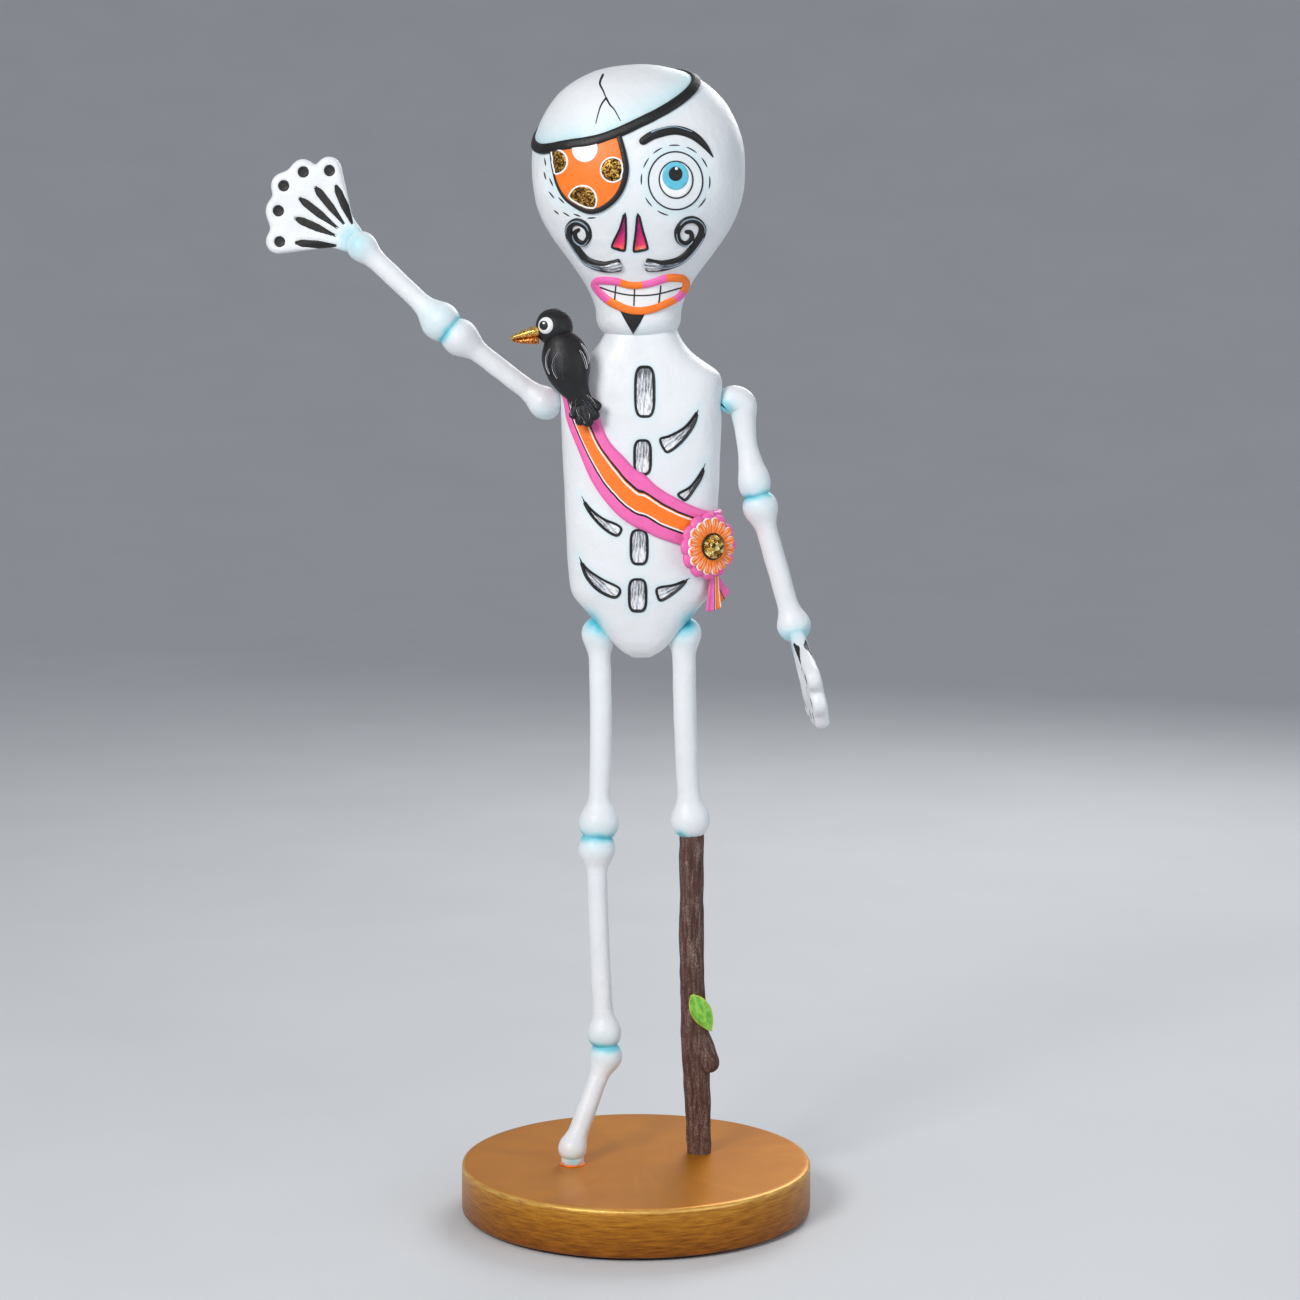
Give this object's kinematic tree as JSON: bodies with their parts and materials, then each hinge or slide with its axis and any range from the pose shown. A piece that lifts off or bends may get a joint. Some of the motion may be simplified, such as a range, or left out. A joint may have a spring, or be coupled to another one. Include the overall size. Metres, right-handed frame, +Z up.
{
  "type": "papier-mache catrina figure",
  "caption": "Standing papier-mache skeleton pirate figure with an eyepatch, sash, crow and stick leg, one arm raised, on a round gold base.",
  "frame": {"origin": "centre of the round base's underside, where the figure rests", "axes": "+Z up from the base through the head, +X towards the figure's own left hand, -Y towards the front"},
  "size_m": [0.2607, 0.165, 0.5347],
  "materials": {
    "white_painted_paper": "satin acrylic over papier-mache",
    "gold_painted_wood": "brushed satin gold paint",
    "black_felt": "felt",
    "steel_wire": "plain wire",
    "twig": "bark, dry-brushed white",
    "leaf_paint": "painted paper",
    "raw_wood": "unfinished",
    "black_paint": "matte paint over papier-mache",
    "white_paint": "paint over papier-mache",
    "gold_paint": "glitter gold paint over papier-mache",
    "orange_paint": "satin paint over papier-mache",
    "pink_paint": "satin paint over papier-mache"
  },
  "bodies": {
    "figure": {"base_felt": "black_felt", "base_disc": "gold_painted_wood", "foot": "white_painted_paper", "tibia": "white_painted_paper", "femur_bone_leg": "white_painted_paper", "toe_pin": "steel_wire", "ankle_pin": "steel_wire", "knee_pin_bone_leg": "steel_wire", "hip_pin_bone_leg": "steel_wire", "stick_leg": "twig", "leaf": "leaf_paint", "femur_stick_leg": "white_painted_paper", "knee_pin_stick_leg": "steel_wire", "hip_pin_stick_leg": "steel_wire", "hip_block": "raw_wood", "spine_dowel": "raw_wood", "shoulder_dowel": "raw_wood", "frame_pin": "steel_wire", "torso_front": "white_painted_paper", "torso_back": "white_painted_paper", "head_block": "raw_wood", "head_front": "white_painted_paper", "head_back": "white_painted_paper", "patch_strap": "black_paint", "eyepatch": "orange_paint", "eyebrow": "black_paint", "moustache_left": "black_paint", "moustache_right": "black_paint", "lips": "orange_paint", "sash": "pink_paint", "rosette_backing": "pink_paint", "rosette_petals": "orange_paint", "rosette_button": "gold_paint", "ribbon_tail_inner": "pink_paint", "ribbon_tail_outer": "pink_paint", "crow_body": "black_paint", "crow_head": "black_paint", "crow_beak": "gold_paint", "crow_eyes": "white_paint", "crow_pin": "steel_wire"},
    "raised_arm": {"raised_humerus": "white_painted_paper", "raised_forearm": "white_painted_paper", "raised_hand": "white_painted_paper", "raised_shoulder_pin": "steel_wire", "raised_elbow_pin": "steel_wire", "raised_wrist_pin": "steel_wire"},
    "hanging_arm": {"hanging_humerus": "white_painted_paper", "hanging_forearm": "white_painted_paper", "hanging_hand": "white_painted_paper", "hanging_shoulder_pin": "steel_wire", "hanging_elbow_pin": "steel_wire", "hanging_wrist_pin": "steel_wire"}
  },
  "joints": [
    {"name": "raised_shoulder", "type": "hinge", "parent": "figure", "child": "raised_arm", "pos_m": [-0.0348, 0.008, 0.3805], "axis": [1, 0, 0], "range_deg": [-90, 90]},
    {"name": "hanging_shoulder", "type": "hinge", "parent": "figure", "child": "hanging_arm", "pos_m": [0.04, 0.008, 0.3805], "axis": [1, 0, 0], "range_deg": [-150, 60]}
  ]
}
